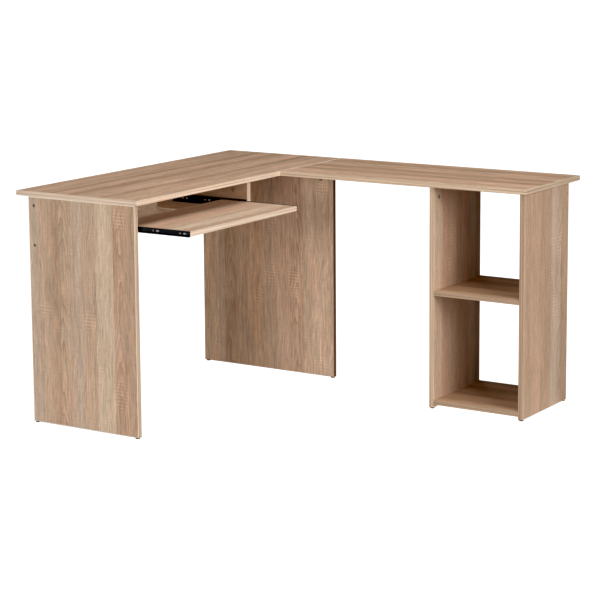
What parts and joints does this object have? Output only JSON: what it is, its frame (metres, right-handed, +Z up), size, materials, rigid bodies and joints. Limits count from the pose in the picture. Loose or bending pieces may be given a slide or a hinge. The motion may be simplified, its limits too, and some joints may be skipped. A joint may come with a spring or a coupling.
{
  "type": "computer desk",
  "caption": "L-shaped computer desk in oak-pattern board, with a pull-out keyboard tray on ball-bearing slides and an open shelf pedestal under the free end of its return.",
  "frame": {"origin": "on the floor, at the middle of the desk's rectangular outline", "axes": "+X to the right along the return top, +Y towards the wall behind the return, +Z up; the keyboard tray pulls out along +X"},
  "size_m": [1.4, 1.2, 0.75],
  "materials": {
    "oak_melamine_board": "matt melamine with a printed, embossed oak pattern",
    "black_slide_steel": "black coated, satin",
    "cage_steel": "stamped, dull",
    "ball_steel": "polished",
    "glide_plastic": "moulded, dull",
    "beech_dowel": "fluted, bare",
    "cam_zinc": "die-cast, dull",
    "dark_screw_steel": "dark phosphate",
    "zinc_screw_steel": "bright zinc plate"
  },
  "bodies": {
    "desk": {"cam_bolts": "zinc_screw_steel", "cam_locks": "cam_zinc", "glides_left_end_panel": "glide_plastic", "glides_middle_panel": "glide_plastic", "glides_pedestal_left_side": "glide_plastic", "glides_pedestal_right_side": "glide_plastic", "left_end_panel": "oak_melamine_board", "long_screws": "dark_screw_steel", "main_top": "oak_melamine_board", "middle_panel": "oak_melamine_board", "modesty_panel": "oak_melamine_board", "pedestal_bottom_shelf": "oak_melamine_board", "pedestal_left_side": "oak_melamine_board", "pedestal_middle_shelf": "oak_melamine_board", "pedestal_right_side": "oak_melamine_board", "return_top": "oak_melamine_board", "seam_plate_screws": "zinc_screw_steel", "seam_plates": "zinc_screw_steel", "slide_divider": "oak_melamine_board", "slide_outer_member_left": "black_slide_steel", "slide_outer_member_right": "black_slide_steel", "slide_wall_screws": "zinc_screw_steel", "wood_dowels": "beech_dowel"},
    "tray": {"keyboard_tray": "oak_melamine_board", "slide_inner_member_left": "black_slide_steel", "slide_inner_member_right": "black_slide_steel", "slide_tray_screws": "zinc_screw_steel"},
    "cage_left": {"ball_cage_left": "cage_steel", "slide_balls_left": "ball_steel"},
    "cage_right": {"ball_cage_right": "cage_steel", "slide_balls_right": "ball_steel"}
  },
  "joints": [
    {"name": "tray_slide", "type": "slide", "parent": "desk", "child": "tray", "axis": [1, 0, 0], "range_m": [-0.205, 0.015]},
    {"name": "cage_left_roll", "type": "slide", "parent": "desk", "child": "cage_left", "axis": [1, 0, 0], "range_m": [-0.1025, 0.0075]},
    {"name": "cage_right_roll", "type": "slide", "parent": "desk", "child": "cage_right", "axis": [1, 0, 0], "range_m": [-0.1025, 0.0075]}
  ],
  "couplings": [
    {"joint": "cage_left_roll", "follows": "tray_slide", "ratio": 0.5},
    {"joint": "cage_right_roll", "follows": "tray_slide", "ratio": 0.5}
  ]
}
